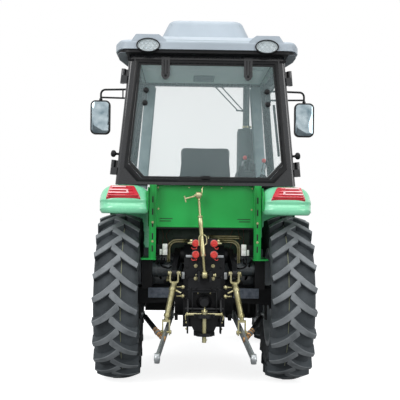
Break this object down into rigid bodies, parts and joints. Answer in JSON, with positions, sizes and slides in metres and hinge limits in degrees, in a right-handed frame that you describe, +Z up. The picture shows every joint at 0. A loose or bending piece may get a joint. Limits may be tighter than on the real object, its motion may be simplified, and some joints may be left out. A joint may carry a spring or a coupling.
{
  "type": "farm tractor",
  "caption": "Cab farm tractor with lugged tyres, steering front axle, hinged doors and hood, and a rear lift linkage with trailer hitch.",
  "frame": {"origin": "on the ground under the middle of the machine's overall length and width", "axes": "+Y forward, +X towards the tractor's right side, +Z up"},
  "size_m": [2.002, 3.7503, 2.8078],
  "materials": {
    "black_plastic": "matte",
    "clear_glass": "gloss",
    "lamp_lens": "gloss",
    "light_grey_plastic": "matte",
    "painted_black": "satin",
    "painted_green": "satin",
    "plain_steel": "satin",
    "red_cap": "matte",
    "red_plastic": "gloss",
    "seat_cover": "satin",
    "silver_paint": "satin",
    "tyre_rubber": "matte",
    "zinc_plated": "satin"
  },
  "bodies": {
    "chassis": {"transmission_case": "painted_black", "rear_axle_housings": "painted_black", "engine_block": "painted_black", "radiator": "painted_black", "front_frame": "painted_black", "front_axle_beam": "painted_black", "front_weights": "painted_black", "hood_bulkhead": "painted_black", "exhaust_stack": "painted_black", "fuel_tank": "black_plastic", "battery_box": "black_plastic", "steps": "painted_black", "cab_frame": "painted_black", "cab_floor": "painted_black", "firewall": "painted_black", "windscreen": "clear_glass", "rear_window": "clear_glass", "rear_panel": "painted_green", "roof_pan": "black_plastic", "roof_shell": "light_grey_plastic", "work_lamps": "lamp_lens", "fenders": "painted_green", "tail_lamps": "red_plastic", "mirrors": "black_plastic", "seat": "seat_cover", "steering_column": "black_plastic", "side_console": "black_plastic", "lift_housing": "painted_black", "trailer_hitch": "painted_black", "couplers": "red_cap", "hydraulic_pipes": "zinc_plated"},
    "hood": {"hood_shell": "painted_green", "front_grille": "black_plastic", "headlamps": "lamp_lens"},
    "steering_wheel": {"steering_wheel": "black_plastic"},
    "lift_arms": {"lift_arms": "painted_black"},
    "top_link": {"top_link": "zinc_plated"},
    "tie_rod": {"tie_rod": "plain_steel"},
    "rear_wheel_left": {"rear_tyre_left": "tyre_rubber", "rear_rim_left": "silver_paint"},
    "front_wheel_left": {"front_tyre_left": "tyre_rubber", "front_rim_left": "silver_paint"},
    "knuckle_left": {"knuckle_left": "painted_black"},
    "door_left": {"door_frame_left": "painted_black", "door_glass_left": "clear_glass"},
    "lift_rod_left": {"lift_rod_left": "zinc_plated"},
    "lower_link_left": {"lower_link_left": "plain_steel"},
    "rear_wheel_right": {"rear_tyre_right": "tyre_rubber", "rear_rim_right": "silver_paint"},
    "front_wheel_right": {"front_tyre_right": "tyre_rubber", "front_rim_right": "silver_paint"},
    "knuckle_right": {"knuckle_right": "painted_black"},
    "door_right": {"door_frame_right": "painted_black", "door_glass_right": "clear_glass"},
    "lift_rod_right": {"lift_rod_right": "zinc_plated"},
    "lower_link_right": {"lower_link_right": "plain_steel"}
  },
  "joints": [
    {"name": "rear_wheel_left_spin", "type": "hinge", "parent": "chassis", "child": "rear_wheel_left", "pos_m": [-0.639, -0.97485, 0.63], "axis": [1, 0, 0], "continuous": true},
    {"name": "steer_left", "type": "hinge", "parent": "chassis", "child": "knuckle_left", "pos_m": [-0.52, 1.07515, 0.445], "axis": [0, 0, 1], "range_deg": [-38, 38]},
    {"name": "front_wheel_left_spin", "type": "hinge", "parent": "knuckle_left", "child": "front_wheel_left", "pos_m": [-0.675, 1.07515, 0.445], "axis": [1, 0, 0], "continuous": true},
    {"name": "door_left_swing", "type": "hinge", "parent": "chassis", "child": "door_left", "pos_m": [-0.65379, -1.27485, 1.94265], "axis": [0.0967, 0, 0.9953], "range_deg": [0, 75]},
    {"name": "rear_wheel_right_spin", "type": "hinge", "parent": "chassis", "child": "rear_wheel_right", "pos_m": [0.639, -0.97485, 0.63], "axis": [1, 0, 0], "continuous": true},
    {"name": "steer_right", "type": "hinge", "parent": "chassis", "child": "knuckle_right", "pos_m": [0.52, 1.07515, 0.445], "axis": [0, 0, 1], "range_deg": [-38.5, 38.5]},
    {"name": "front_wheel_right_spin", "type": "hinge", "parent": "knuckle_right", "child": "front_wheel_right", "pos_m": [0.675, 1.07515, 0.445], "axis": [1, 0, 0], "continuous": true},
    {"name": "door_right_swing", "type": "hinge", "parent": "chassis", "child": "door_right", "pos_m": [0.65379, -1.27485, 1.94265], "axis": [0.0967, 0, -0.9953], "range_deg": [0, 75]},
    {"name": "tie_rod_pivot", "type": "hinge", "parent": "knuckle_left", "child": "tie_rod", "pos_m": [-0.52, 0.88515, 0.392], "axis": [0, 0, 1], "range_deg": [-38.5, 38.5]},
    {"name": "steering_wheel_turn", "type": "hinge", "parent": "chassis", "child": "steering_wheel", "pos_m": [0, -0.27485, 1.56], "axis": [0, -0.5299, 0.848], "range_deg": [-345, 345]},
    {"name": "hood_lift", "type": "hinge", "parent": "chassis", "child": "hood", "pos_m": [0, 0.22515, 1.35], "axis": [1, 0, 0], "range_deg": [0, 50]},
    {"name": "lift_arms_raise", "type": "hinge", "parent": "chassis", "child": "lift_arms", "pos_m": [0, -1.05485, 0.95], "axis": [-1, 0, 0], "range_deg": [0, 55]},
    {"name": "lift_rod_left_pivot", "type": "hinge", "parent": "lift_arms", "child": "lift_rod_left", "pos_m": [-0.222, -1.35155, 0.83013], "axis": [-1, 0, 0], "range_deg": [-59.85, 1]},
    {"name": "lower_link_left_raise", "type": "hinge", "parent": "chassis", "child": "lower_link_left", "pos_m": [-0.238, -1.01485, 0.49], "axis": [-1, 0, 0], "range_deg": [-1, 48.58]},
    {"name": "lift_rod_right_pivot", "type": "hinge", "parent": "lift_arms", "child": "lift_rod_right", "pos_m": [0.222, -1.35155, 0.83013], "axis": [-1, 0, 0], "range_deg": [-59.85, 1]},
    {"name": "lower_link_right_raise", "type": "hinge", "parent": "chassis", "child": "lower_link_right", "pos_m": [0.238, -1.01485, 0.49], "axis": [-1, 0, 0], "range_deg": [-1, 48.58]},
    {"name": "top_link_swing", "type": "hinge", "parent": "chassis", "child": "top_link", "pos_m": [0, -1.39485, 0.82], "axis": [1, 0, 0], "range_deg": [0, 110]}
  ],
  "couplings": [
    {"joint": "steer_right", "follows": "steer_left", "ratio": 1},
    {"joint": "tie_rod_pivot", "follows": "steer_left", "ratio": -1},
    {"joint": "steering_wheel_turn", "follows": "steer_left", "ratio": 9},
    {"joint": "lift_rod_left_pivot", "follows": "lift_arms_raise", "ratio": -1.07},
    {"joint": "lower_link_left_raise", "follows": "lift_arms_raise", "ratio": 0.865},
    {"joint": "lift_rod_right_pivot", "follows": "lift_arms_raise", "ratio": -1.07},
    {"joint": "lower_link_right_raise", "follows": "lift_arms_raise", "ratio": 0.865}
  ]
}
